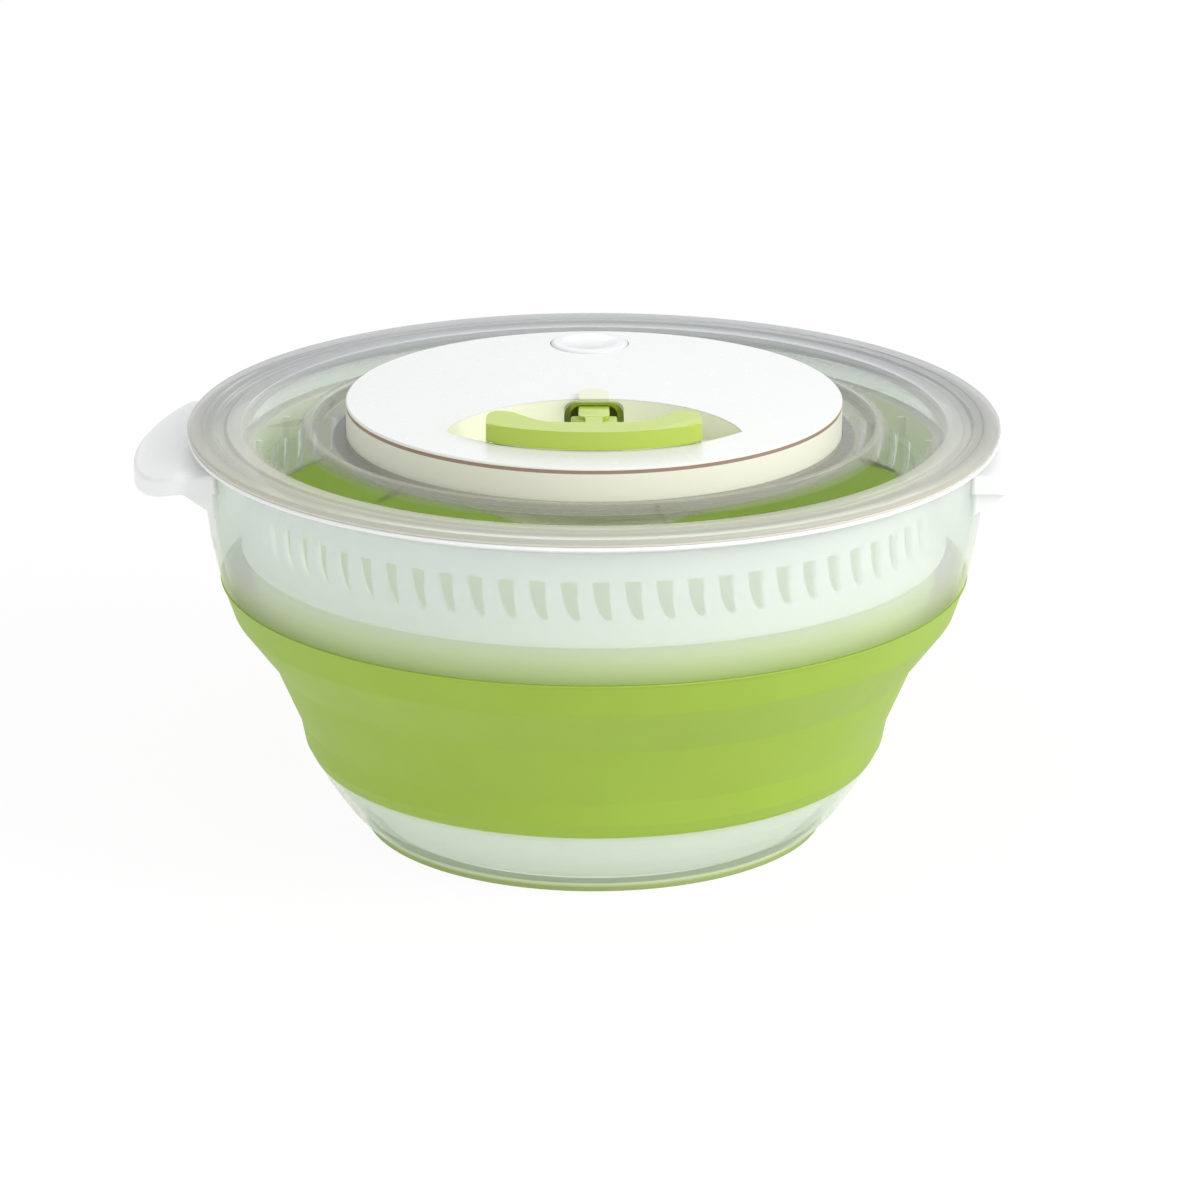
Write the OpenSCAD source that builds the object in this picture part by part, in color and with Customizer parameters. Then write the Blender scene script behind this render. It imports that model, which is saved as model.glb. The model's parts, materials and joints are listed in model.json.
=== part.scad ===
// Collapsible salad spinner with a pull cord drive in its lid.
// Z is the spinner's axis, the foot stands on Z = 0, the ears lie along X and the pull handle faces -Y.

/* [Bowl] */
// Radius of the bowl's rolled rim and of the lid
rim_r = 130; // [128:0.5:132]
// Thickness of the frosted plastic walls
wall = 2; // [1.8:0.1:2.2]
// Thickness of the folding green walls
bellows_wall = 1.6; // [1.4:0.1:1.8]
// Half the width of an ear
ear_half_w = 44.4; // [40:0.2:48]
// How far an ear's tip is from the axis
ear_tip = 147.5; // [145:0.5:150]

/* [Lid] */
// Thickness of the clear lid
lid_wall = 1.6; // [1.4:0.1:2]
// Radius of the drive housing
housing_r = 79.4; // [79:0.1:80]
// Height of the housing's top face
cover_top = 140.8; // [140.8:0.1:141.4]
// Number of triangular ribs on the lid
gusset_count = 7; // [5:1:9]

/* [Basket] */
// Outer radius of the basket's slotted ring
basket_r = 112; // [111:0.5:113]
// Number of drain slots in the ring
slot_count = 72; // [36:12:72]
// Number of drain slots in each row of the floor
floor_slot_count = 18; // [12:2:24]

/* [Pull handle] */
// Half the length of the handle
handle_half_w = 33.7; // [32:0.1:36]
// Height of the handle's top
handle_top = 147; // [146:0.5:148]
// Radius of the pull cord
cord_r = 0.9; // [0.8:0.1:1]

/* [Drive] */
// Radius of the drive shaft
shaft_r = 4; // [3.8:0.1:4]
// Number of rollers in the one-way clutch
roller_count = 6; // [4:1:6]
// Number of lugs by which the drive disc turns the basket
lug_count = 6; // [3:3:12]

/* [Hidden] */
$fn = 64;

running_fit = 0.05;   // radial clearance of a shaft in its bearing
gap = 0.3;            // space between pieces that move past each other

// heights
foot_h = 3;
base_top = 24.2;      // where the frosted base meets the green wall
bellows_top = 84.1;   // where the green wall meets the frosted rim
rim_top = 131;
lip_r = 126.3;        // inner radius of the rim's lip
lid_top = 133.5;
lid_floor = 130.2;
seal_h = 0.7;
basket_floor = 9.5;
ring_bottom = 94;
ring_top = 124;

// housing
housing_wall = 2;
housing_floor = 127;
housing_floor_t = 1.6;
wall_top = 138.8;
trim_h = 1.2;
cover_edge = wall_top + trim_h;
cover_bottom = 139;
well_r = 34;
well_bottom = 112;
well_floor_t = 1.8;
journal_r = 9;
journal_top = 119.6;
bushing_r = 6;
skirt_r = 77.2;
screw_r = 1.25;
screw_places = [[58, 30], [-58, 30], [62, -30], [-62, -30]];

// pocket for the fingers: the space between two arcs
pocket_rear = [0, -49.7, 47.7];    // x, y and radius of the rear arc
pocket_front = [0, 0, 61];         // x, y and radius of the front arc
pocket_floor = 132;
pocket_wall = 1.6;
ramp_start = -40;                  // where the floor begins to rise towards the front

// handle
handle_bottom = cover_top + gap;
handle_front = [4.6, 66];          // y and radius of the front arc
// one side of the rear edge, from the middle to the rounded end
handle_rear = [
    [6, -50.2], [13, -49.7], [17, -48.2], [20.5, -44.9], [23, -41.6], [25.3, -38.9], [27.6, -37.6],
    [30, -37.2], [31.6, -37.7], [33, -39.8], [33.6, -43]
];
slab = [14.4, -34.5, 144.4];       // width, rear end and top of the tongue's broad root
neck_w = 5.4;
tongue_w = 9.7;
tongue_top = 145.4;
tongue_end = -29;
tongue_lip_end = -25.8;            // the tongue's upper part reaches over the cord
tongue_lip_bottom = 144;
cord_z = 142.75;
ferrule_y = -47.5;
ferrule_len = 4;

// cord guide
guide_w = 18.8;
guide_front = -27;
guide_rear = -16;
guide_top = 146.7;
guide_inner_w = 14.8;
guide_roof = 0.95;

// spool
drum_r = 15;
race_r = 12;
flange_r = 30;
upper_flange_r = 22.5;
flange_t = 1.2;
spool_bottom = 114.3;
drum_bottom = 120.7;
drum_top = 126.5;
winding_layers = 2;
winding_turns = 3;

// drive
shaft_bottom = 106;
shaft_top = 127.9;
roller_r = 1.9;
roller_pitch_r = 10;
hub_r = 11.6;
hub_bottom = 119.9;
hub_top = 126.9;
disc_z = 115.5;
disc_t = 1.7;
disc_r = 104;
lug_r = 109.6;

// brake
brake_x = -1.5;
brake_y = 64;
button_r = 12.7;
stem_r = 3;
pad_bottom = 119.8;
pad_top = 121.5;
button_bottom = 139.5;
button_top = 141.5;

// the cord's middle line, from the drum's tangent point up through the eyelet and into the handle
cord_route = [
    [-12, -15.6, 123.6], [-8, -18.8, 123.6], [-4.5, -21.5, 123.7], [-2, -23.4, 124.5],
    [-0.5, -24.6, 126], [0, -25, 128], [0, -25, 131], [0, -25, 135], [0, -25, 138.5],
    [0, -25.4, 140.4], [0, -26.6, 141.9], [0, -28.4, cord_z], [0, -32, cord_z],
    [0, -37, cord_z], [0, ferrule_y + ferrule_len, cord_z]
];

// a wall of even thickness under an outer outline of [radius, height] points
function reversed(points) = [for (i = [len(points) - 1 : -1 : 0]) points[i]];
function wall_outline(points, t) = concat(points, [for (p = reversed(points)) [p[0] - t, p[1]]]);

// a tube swept along a list of points
function unit(v) = v / norm(v);
function along(path, i) =
    unit(path[min(i + 1, len(path) - 1)] - path[max(i - 1, 0)]);
function side_of(t, up) = unit(cross(t, up));
function ring_points(centre, t, up, r, n) =
    let (a = side_of(t, up), b = cross(t, a))
    [for (k = [0 : n - 1]) centre + r * (cos(360 * k / n) * a + sin(360 * k / n) * b)];

module swept_tube(path, r, n, up) {
    rings = [for (i = [0 : len(path) - 1]) each ring_points(path[i], along(path, i), up, r, n)];
    last = (len(path) - 1) * n;
    sides = [
        for (i = [0 : len(path) - 2]) for (k = [0 : n - 1])
            let (a = i * n + k, b = i * n + (k + 1) % n)
            each [[a, b, b + n], [a, b + n, a + n]]
    ];
    first_cap = [for (k = [1 : n - 2]) [0, k + 1, k]];
    last_cap = [for (k = [1 : n - 2]) [last, last + k, last + k + 1]];
    polyhedron(points = rings, faces = concat(sides, first_cap, last_cap), convexity = 6);
}

module tube(r_out, r_in, z0, z1) {
    translate([0, 0, z0]) difference() {
        cylinder(r = r_out, h = z1 - z0);
        translate([0, 0, -1]) cylinder(r = r_in, h = z1 - z0 + 2);
    }
}

module rod(r, z0, z1) {
    translate([0, 0, z0]) cylinder(r = r, h = z1 - z0);
}

module screw(head_r, head_bottom, head_top, shank_end) {
    rod(head_r, head_bottom, head_top);
    rod(screw_r, min(head_bottom, shank_end), max(head_top, shank_end));
}

// ---- bowl ----

module bowl_base() {
    color("honeydew") {
        rotate_extrude($fn = 128) polygon([
            [0, foot_h], [75.2, foot_h], [77.5, 4.5], [81.4, 8.8], [84.8, 13.5], [88.2, 18.6],
            [91.3, base_top], [89.3, base_top], [86.2, 18.8], [82.8, 14.1], [79.4, 9.7],
            [76.2, 6.2], [74, foot_h + wall], [0, foot_h + wall]
        ]);
        rod(shaft_r, foot_h + wall, 16);
        translate([0, 0, 16]) cylinder(r1 = shaft_r, r2 = shaft_r - 1, h = 1);
    }
}

module foot_ring() {
    color("olivedrab") tube(74.6, 70, 0, foot_h, $fn = 128);
}

module bowl_bellows() {
    color("yellowgreen") rotate_extrude($fn = 128) polygon(wall_outline([
        [91.3, base_top], [93.8, 28.8], [95.5, 37.4], [104.2, 57.1], [116.6, 72.7],
        [120.1, bellows_top]
    ], bellows_wall));
}

// half an ellipse beyond the root line, straight behind it
module ear_outline(inset) {
    root = 129;
    half_w = ear_half_w - inset;
    polygon(concat(
        [[114, -half_w]],
        [for (a = [-90 : 7.5 : 90]) [root + (ear_tip - inset - root) * cos(a), half_w * sin(a)]],
        [[114, half_w]]
    ));
}

// the ear's drooping upper face, taken down by a distance, as a solid between two such faces
module ear_layer(upper, lower) {
    face = [
        [112, 127.4], [125, 127.3], [132, 126.9], [136.4, 125.4], [141, 123.8], [144.5, 122.8],
        [ear_tip + 1, 122.3]
    ];
    rotate([90, 0, 0]) translate([0, 0, -60]) linear_extrude(height = 120) polygon(concat(
        [for (p = face) [p[0], p[1] - upper]], [for (p = reversed(face)) [p[0], p[1] - lower]]
    ));
}

module ear_rib(y, points) {
    translate([0, y + 0.8, 0]) rotate([90, 0, 0]) linear_extrude(height = 1.6) polygon(points);
}

module ear() {
    skirt_t = 2;
    plate_t = 2.2;
    skirt_h = 5.6;
    difference() {
        intersection() {
            translate([0, 0, 105]) linear_extrude(height = 30) ear_outline(0);
            ear_layer(0, skirt_h);
        }
        intersection() {
            translate([0, 0, 105]) linear_extrude(height = 30) ear_outline(skirt_t);
            ear_layer(plate_t, skirt_h + 1);
        }
        rod(rim_r - 5, 100, 140, $fn = 128);
    }
    for (y = [-40.5, 40.5])
        ear_rib(y, [
            [117.8, 112], [120.4, 114.8], [125.4, 118.4], [130, 121.6], [130, 125.4], [117.8, 125.8]
        ]);
    ear_rib(0, [[124.6, 109], [138, 119.6], [138, 123], [124.6, 125.8]]);
}

module bowl_rim() {
    color("whitesmoke") difference() {
        union() {
            rotate_extrude($fn = 128) polygon([
                [120.1, bellows_top], [123.2, 98], [125.1, 112.8], [126, 127.6], [127.2, 129.3],
                [rim_r, 129.5], [rim_r, rim_top], [lip_r, rim_top], [124, 127.6],
                [123.1, 112.8], [121.2, 98], [118.1, bellows_top]
            ]);
            ear();
            mirror([1, 0, 0]) ear();
        }
        translate([0, 0, 112.8]) cylinder(r1 = 123.1, r2 = 124, h = 14.8, $fn = 128);
        translate([0, 0, 127.6]) cylinder(r1 = 124, r2 = lip_r, h = rim_top - 127.6, $fn = 128);
    }
}

// ---- basket ----

module pivot_cup() {
    color("silver") difference() {
        union() {
            rod(7, 5.6, 20);
            rod(11, 5.6, basket_floor - gap);
        }
        rod(shaft_r + running_fit, 5, 17.4);
    }
}

module basket_base() {
    color("white") difference() {
        union() {
            rotate_extrude($fn = 128) polygon([
                [7 + running_fit, basket_floor], [76.5, basket_floor], [82.5, 16.8],
                [87.5, base_top], [85.7, base_top], [80.8, 17.6], [75.6, basket_floor + 1.7],
                [10.5, basket_floor + 1.7], [10.5, 19], [7 + running_fit, 19]
            ]);
        }
        for (i = [0 : floor_slot_count - 1]) rotate([0, 0, 360 * i / floor_slot_count]) {
            translate([22, -1.5, 5]) cube([18, 3, 10]);
            rotate([0, 0, 180 / floor_slot_count]) translate([48, -1.5, 5]) cube([22, 3, 10]);
        }
    }
}

module basket_bellows() {
    color("yellowgreen") rotate_extrude($fn = 128) polygon(wall_outline([
        [87.5, base_top], [89.8, 29.4], [91.5, 38], [99.6, 57], [107.4, 70.6], [110, 82],
        [110.1, 101]
    ], bellows_wall));
}

// one drain slot at the front, leaning to its right as it goes down
module ring_slot() {
    translate([0, 7 - basket_r, 0]) rotate([90, 0, 0]) linear_extrude(height = 12)
        polygon([[-2.7, 114.5], [2.6, 114.5], [2.7, 108], [3.5, 102.6], [2.9, 102], [1.2, 102],
                 [-0.6, 104.6], [-1.9, 108]]);
}

module basket_ring() {
    rib_count = 4 * lug_count;
    slot_turn = 1.1;
    color("white") {
        difference() {
            rotate_extrude($fn = 128) polygon([
                [110.2, ring_bottom], [113.4, ring_bottom], [113.4, 95.6], [basket_r, 96.4],
                [basket_r, 122.4], [114.4, 122.4], [114.4, ring_top], [110.2, ring_top]
            ]);
            for (i = [0 : slot_count - 1]) rotate([0, 0, slot_turn + 360 * i / slot_count]) ring_slot();
        }
        for (i = [0 : rib_count - 1]) rotate([0, 0, 360 * (i + 0.5) / rib_count])
            translate([108, -0.8, 115]) cube([2.6, 1.6, 7]);
    }
}

// ---- lid ----

module lid_shell() {
    color("lightgray", 0.5) {
        rotate_extrude($fn = 128) polygon([
            [79.6, lid_floor], [88, lid_floor], [90.4, 133.2], [92.8, 133.2], [95.2, 130.6],
            [107, 130], [110.5, 131], [113, 132.9], [117.4, 133.1], [118.2, 132.3], [120.6, 132.3],
            [121.6, 133.1], [124.2, 133.1], [124.8, lid_top], [rim_r, lid_top], [rim_r, 131.8],
            [125.1, 131.8], [122.9, 126.8], [121.3, 126.8], [121, 130.6], [118, 130.6], [117, 131.4],
            [113.6, 131.3], [111, 129.5], [107, 128.4], [94.4, 128.9], [92.1, 131.6], [91.1, 131.6],
            [88.7, lid_floor - lid_wall], [79.6, lid_floor - lid_wall]
        ]);
        for (i = [0 : gusset_count - 1]) rotate([0, 0, -78 + 360 * i / gusset_count])
            rotate([90, 0, 0]) translate([0, 0, -0.6]) linear_extrude(height = 1.2)
                polygon([[92, 132.8], [94, 130], [105, 129.4], [105, 130.2]]);
    }
}

module lid_seal() {
    flange_bottom = lid_top - 1.7;
    color("tan") tube(129.2, lip_r + 0.4, flange_bottom - seal_h, flange_bottom, $fn = 128);
}

module housing_gasket() {
    gasket_top = lid_floor - lid_wall;
    color("gray") tube(83.4, housing_r + 0.2, gasket_top - 0.6, gasket_top, $fn = 128);
}

module housing_base() {
    flange_top = lid_floor - lid_wall - 0.6;
    color("beige") difference() {
        rotate_extrude($fn = 128) polygon([
            [bushing_r, well_bottom], [well_r, well_bottom], [well_r, housing_floor],
            [84, housing_floor], [84, flange_top], [housing_r, flange_top],
            [housing_r, wall_top], [housing_r - housing_wall, wall_top],
            [housing_r - housing_wall, housing_floor + housing_floor_t],
            [well_r - 2, housing_floor + housing_floor_t],
            [well_r - 2, well_bottom + well_floor_t], [journal_r, well_bottom + well_floor_t],
            [journal_r, journal_top], [bushing_r, journal_top]
        ]);
        for (p = screw_places) translate(p) rod(screw_r, 120, 130, $fn = 32);
        translate([brake_x, brake_y]) rod(stem_r + running_fit, 120, 130, $fn = 32);
    }
}

module lens(grow, z0, z1) {
    intersection() {
        translate([pocket_rear[0], pocket_rear[1]]) rod(pocket_rear[2] + grow, z0, z1, $fn = 96);
        translate([pocket_front[0], pocket_front[1]]) rod(pocket_front[2] + grow, z0, z1, $fn = 96);
    }
}

// the space of the pocket: level at the back, rising to the cover's face at the front
module pocket_space() {
    ramp = pocket_front[2] - pocket_front[1] + ramp_start;
    intersection() {
        lens(0, pocket_floor, cover_top + 5);
        rotate([90, 0, 90]) translate([0, 0, -60]) linear_extrude(height = 120) polygon([
            [10, pocket_floor], [ramp_start, pocket_floor], [ramp_start - ramp, cover_top - 0.4],
            [ramp_start - ramp, cover_top + 5], [10, cover_top + 5]
        ]);
    }
}

module housing_cover() {
    boss_r = 3.6;
    color("white") difference() {
        union() {
            rotate_extrude($fn = 128) polygon([
                [0, cover_bottom], [75.2, cover_bottom], [75.2, 137], [skirt_r, 137],
                [skirt_r, cover_edge], [housing_r, cover_edge], [housing_r, cover_top - 0.4],
                [housing_r - 0.4, cover_top], [0, cover_top]
            ]);
            lens(pocket_wall, pocket_floor - pocket_wall, cover_top - 1);
            for (p = screw_places)
                translate(p) rod(boss_r, housing_floor + housing_floor_t, cover_bottom + 1);
        }
        pocket_space();
        for (p = screw_places) translate(p) rod(screw_r, 120, 138, $fn = 32);
        translate([brake_x, brake_y]) rod(button_r + gap, 130, 150);
        translate([0, -25]) rod(cord_r + 0.9, 125, 135, $fn = 32);
    }
}

module cover_trim_ring() {
    color("rosybrown") tube(housing_r - 0.1, skirt_r + 0.1, wall_top, cover_edge, $fn = 128);
}

module housing_screws() {
    color("silver") for (p = screw_places) translate(p) difference() {
        screw(3, housing_floor - 1.8, housing_floor, 138, $fn = 32);
        for (a = [0, 90]) rotate([0, 0, a])
            translate([-2, -0.4, housing_floor - 2]) cube([4, 0.8, 1]);
    }
}

// a block with two rounded upper edges, standing on the pocket's floor
module guide_block(w, top, corner, y0, y1) {
    translate([0, y1, 0]) rotate([90, 0, 0]) linear_extrude(height = y1 - y0) {
        translate([-w / 2, pocket_floor]) square([w, top - corner - pocket_floor]);
        translate([corner - w / 2, pocket_floor]) square([w - 2 * corner, top - pocket_floor]);
        for (s = [-1, 1]) translate([s * (w / 2 - corner), top - corner]) circle(r = corner);
    }
}

// level over the guide's front, then sloping down to its back
module guide_slope(drop) {
    slope_start = guide_front + 1.6;
    rotate([90, 0, 90]) translate([0, 0, -20]) linear_extrude(height = 40) polygon([
        [guide_front - 2, pocket_floor - 1], [guide_front - 2, guide_top - drop],
        [slope_start, guide_top - drop], [guide_rear, 140.5 - drop], [guide_rear, pocket_floor - 1]
    ]);
}

module cord_guide() {
    inner_top = guide_top - guide_roof;
    back_wall = 1.6;
    color("olivedrab") difference() {
        intersection() {
            guide_block(guide_w, guide_top, 4.5, guide_front, guide_rear);
            guide_slope(0);
        }
        intersection() {
            translate([0, 0, -1])
                guide_block(guide_inner_w, inner_top + 1, 3.4, guide_front - 1, guide_rear - back_wall);
            guide_slope(guide_roof);
        }
    }
}

module guide_tab() {
    tab_w = 9.6;
    tab_h = 1.6;
    front = -8;
    round_y = -1;
    color("lemonchiffon") {
        translate([-tab_w / 2, front, cover_top]) cube([tab_w, round_y - front, tab_h]);
        translate([0, round_y]) rod(tab_w / 2, cover_top, cover_top + tab_h);
    }
}

module cord_eyelet() {
    color("silver") translate([0, -25])
        tube(cord_r + 0.9, cord_r + 0.3, pocket_floor - pocket_wall, pocket_floor + 0.8, $fn = 32);
}

module shaft_bushing() {
    color("goldenrod") tube(bushing_r, shaft_r + running_fit, well_bottom, journal_top);
}

module pull_cord() {
    color("ivory") swept_tube(cord_route, cord_r, 8, [1, 0.2, 0]);
}

// ---- pull handle ----

module handle_outline() {
    front_ends = handle_half_w - 0.4;
    polygon(concat(
        [for (i = [0 : 24]) let (x = front_ends * (i / 12 - 1))
            [x, handle_front[0] - sqrt(pow(handle_front[1], 2) - x * x)]],
        [[handle_half_w, -50.6], [handle_half_w, -46]],
        reversed(handle_rear),
        [for (p = handle_rear) [-p[0], p[1]]],
        [[-handle_half_w, -46], [-handle_half_w, -50.6]]
    ));
}

module pull_handle() {
    tongue_start = -53;
    head_start = -37;
    color("yellowgreen") difference() {
        union() {
            translate([0, 0, handle_bottom])
                linear_extrude(height = handle_top - handle_bottom) handle_outline();
            translate([-slab[0] / 2, tongue_start, handle_bottom])
                cube([slab[0], slab[1] - tongue_start, slab[2] - handle_bottom]);
            translate([-neck_w / 2, tongue_start, handle_bottom])
                cube([neck_w, head_start + 1 - tongue_start, tongue_top - handle_bottom]);
            translate([-tongue_w / 2, head_start, handle_bottom])
                cube([tongue_w, tongue_end - head_start, tongue_top - handle_bottom]);
            translate([-tongue_w / 2, head_start, tongue_lip_bottom])
                cube([tongue_w, tongue_lip_end - head_start, tongue_top - tongue_lip_bottom]);
        }
        translate([0, tongue_end + 1, cord_z]) rotate([90, 0, 0])
            cylinder(r = cord_r + 0.2, h = 20, $fn = 24);
        translate([-2, ferrule_y, handle_bottom - 1]) cube([4, ferrule_len, 3.7]);
    }
}

module cord_ferrule() {
    color("silver") translate([-2, ferrule_y, cord_z - 1]) cube([4, ferrule_len, 2]);
}

// ---- spool ----

module cord_spool() {
    color("whitesmoke") rotate_extrude($fn = 96) polygon([
        [journal_r + running_fit, spool_bottom], [race_r, spool_bottom],
        [race_r, drum_bottom - flange_t], [flange_r, drum_bottom - flange_t],
        [flange_r, drum_bottom], [drum_r, drum_bottom], [drum_r, drum_top],
        [upper_flange_r, drum_top], [upper_flange_r, drum_top + flange_t],
        [race_r, drum_top + flange_t], [race_r, journal_top], [journal_r + running_fit, journal_top]
    ]);
}

module cord_winding() {
    pitch = 2 * cord_r;
    color("ivory") rotate_extrude($fn = 48) for (i = [0 : winding_layers - 1])
        translate([drum_r + 0.05 + pitch * i, drum_bottom + 0.2]) square([pitch, pitch * winding_turns]);
}

// a flat strip wound as a spiral about the spool's lower hub
module recoil_spring() {
    turns = 6;
    steps = 24;
    strip = 0.5;
    first_r = race_r + 0.3;
    rise = 2.8;
    inner = [
        for (i = [0 : turns * steps])
            let (r = first_r + rise * i / steps, a = 360 * i / steps) [r * cos(a), r * sin(a)]
    ];
    outer = [
        for (i = [turns * steps : -1 : 0])
            let (r = first_r + strip + rise * i / steps, a = 360 * i / steps) [r * cos(a), r * sin(a)]
    ];
    color("dimgray") translate([0, 0, 114.4]) linear_extrude(height = 4.6) polygon(concat(inner, outer));
}

// ---- drive ----

module drive_shaft() {
    color("silver") difference() {
        rod(shaft_r, shaft_bottom, shaft_top);
        rod(screw_r, shaft_bottom - 1, 113, $fn = 32);
        rod(screw_r, 120, shaft_top + 1, $fn = 32);
    }
}

module clutch_hub() {
    color("dimgray") difference() {
        tube(hub_r, shaft_r, hub_bottom, hub_top);
        for (i = [0 : roller_count - 1]) rotate([0, 0, 360 * i / roller_count])
            translate([roller_pitch_r, 0]) rod(roller_r + 0.2, hub_bottom - 1, hub_top + 1, $fn = 32);
    }
}

module clutch_rollers() {
    color("silver") for (i = [0 : roller_count - 1]) rotate([0, 0, 360 * i / roller_count])
        translate([roller_pitch_r, 0]) rod(roller_r, hub_bottom + 0.2, hub_top - 0.2, $fn = 32);
}

module clutch_cap() {
    color("dimgray") tube(14, screw_r, shaft_top, shaft_top + 1);
}

module cap_screw() {
    color("silver") screw(2.5, shaft_top + 1, shaft_top + 2.1, 120, $fn = 32);
}

module shaft_clip() {
    color("dimgray") difference() {
        tube(6.5, shaft_r, 111.2, 111.8);
        translate([0, -2, 111]) cube([8, 4, 1]);
    }
}

module drive_disc() {
    color("lightcyan", 0.5) {
        rotate_extrude($fn = 128) polygon([
            [shaft_r, shaft_bottom], [8, shaft_bottom], [8, 108.6], [40, 108.6], [48, disc_z],
            [disc_r, disc_z], [disc_r, disc_z + disc_t], [47, disc_z + disc_t], [39, 110.4],
            [8, 110.4], [8, 111], [shaft_r, 111]
        ]);
        for (i = [0 : lug_count - 1]) rotate([0, 0, 360 * i / lug_count])
            translate([disc_r - 2, -6, disc_z]) cube([lug_r - disc_r + 2, 12, disc_t]);
    }
}

module disc_screw() {
    color("silver") screw(5, shaft_bottom - 1.6, shaft_bottom, 113, $fn = 32);
}

// ---- brake ----

module brake_button() {
    color("white") translate([brake_x, brake_y]) difference() {
        rotate_extrude() polygon([
            [0, button_bottom], [button_r, button_bottom], [button_r, button_top - 0.5],
            [button_r - 0.8, button_top], [0, button_top]
        ]);
        translate([0, 0, button_top + 19.4]) sphere(r = 20, $fn = 96);
    }
}

module brake_stem() {
    color("white") translate([brake_x, brake_y]) rod(stem_r, pad_top, button_bottom, $fn = 32);
}

module brake_pad() {
    color("dimgray") translate([brake_x, brake_y]) rod(5, pad_bottom, pad_top);
}

module brake_spring() {
    turns = 5;
    steps = 12;
    wire_r = 0.4;
    coil_r = 5;
    z0 = housing_floor + housing_floor_t + wire_r + 0.1;
    z1 = button_bottom - wire_r - 0.1;
    path = [
        for (i = [0 : turns * steps]) [
            coil_r * cos(360 * i / steps), coil_r * sin(360 * i / steps),
            z0 + (z1 - z0) * i / (turns * steps)
        ]
    ];
    color("silver") translate([brake_x, brake_y]) swept_tube(path, wire_r, 6, [0, 0, 1]);
}

bowl_base();
foot_ring();
bowl_rim();
bowl_bellows();
pivot_cup();
basket_base();
basket_ring();
basket_bellows();
lid_shell();
lid_seal();
housing_gasket();
housing_base();
housing_cover();
cover_trim_ring();
housing_screws();
cord_guide();
guide_tab();
cord_eyelet();
shaft_bushing();
pull_cord();
pull_handle();
cord_ferrule();
cord_spool();
cord_winding();
recoil_spring();
drive_shaft();
clutch_hub();
clutch_rollers();
clutch_cap();
cap_screw();
shaft_clip();
drive_disc();
disc_screw();
brake_button();
brake_stem();
brake_pad();
brake_spring();
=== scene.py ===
import json
import math

import bmesh
import bpy
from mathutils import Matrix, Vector


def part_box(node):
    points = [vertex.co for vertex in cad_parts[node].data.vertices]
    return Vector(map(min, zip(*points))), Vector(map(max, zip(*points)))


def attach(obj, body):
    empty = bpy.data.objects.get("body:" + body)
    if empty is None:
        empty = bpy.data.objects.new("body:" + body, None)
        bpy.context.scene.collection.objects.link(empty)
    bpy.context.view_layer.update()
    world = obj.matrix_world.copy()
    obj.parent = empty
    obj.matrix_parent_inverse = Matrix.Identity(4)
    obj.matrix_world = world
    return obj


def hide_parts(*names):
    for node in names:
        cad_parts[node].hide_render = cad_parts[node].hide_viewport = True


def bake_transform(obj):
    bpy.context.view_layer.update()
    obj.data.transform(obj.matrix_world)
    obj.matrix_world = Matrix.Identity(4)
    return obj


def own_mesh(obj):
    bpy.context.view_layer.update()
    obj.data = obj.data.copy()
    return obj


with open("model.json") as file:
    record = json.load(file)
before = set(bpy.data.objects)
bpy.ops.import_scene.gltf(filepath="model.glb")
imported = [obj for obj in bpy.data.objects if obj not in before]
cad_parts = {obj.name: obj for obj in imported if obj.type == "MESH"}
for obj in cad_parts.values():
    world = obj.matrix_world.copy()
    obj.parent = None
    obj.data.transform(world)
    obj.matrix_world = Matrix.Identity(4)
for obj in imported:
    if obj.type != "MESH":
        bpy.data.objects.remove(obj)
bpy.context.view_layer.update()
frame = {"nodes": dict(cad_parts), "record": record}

MM = 0.001
SEGMENTS = 256          # round a lathed piece
foot_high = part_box("foot_ring")[1] / MM
rim_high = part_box("bowl_rim")[1] / MM
wall_low, wall_high = (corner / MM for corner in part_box("bowl_bellows"))
lid_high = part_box("lid_shell")[1] / MM
pull_low, pull_high = (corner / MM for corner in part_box("pull_handle"))
RIM_R = lid_high.y      # the lid's and the rim's outer radius
EAR_TIP = rim_high.x
BASE_TOP = wall_low.z
WALL_TOP = wall_high.z
LID_TOP = lid_high.z
HANDLE_TOP = pull_high.z


# ---- camera, floor and lights ----

def aim(obj, target):
    obj.rotation_mode = "QUATERNION"
    obj.rotation_quaternion = (Vector(target) - obj.location).to_track_quat("-Z", "Y")


def make_camera():
    distance = 1.8
    height = math.radians(16.25)
    data = bpy.data.cameras.new("camera")
    data.lens = 168.5
    data.shift_x = 0.005
    camera = bpy.data.objects.new("camera", data)
    bpy.context.scene.collection.objects.link(camera)
    camera.location = (0, -distance * math.cos(height), 0.1335 + distance * math.sin(height))
    aim(camera, (0, 0, 0.0724))
    bpy.context.scene.camera = camera


def make_light(name, size, power, place, colour):
    data = bpy.data.lights.new(name, "AREA")
    data.shape = "DISK"
    data.size = size
    data.energy = power
    data.color = colour
    light = bpy.data.objects.new(name, data)
    bpy.context.scene.collection.objects.link(light)
    light.location = place
    aim(light, (0, 0, 0.08))
    return light


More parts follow.
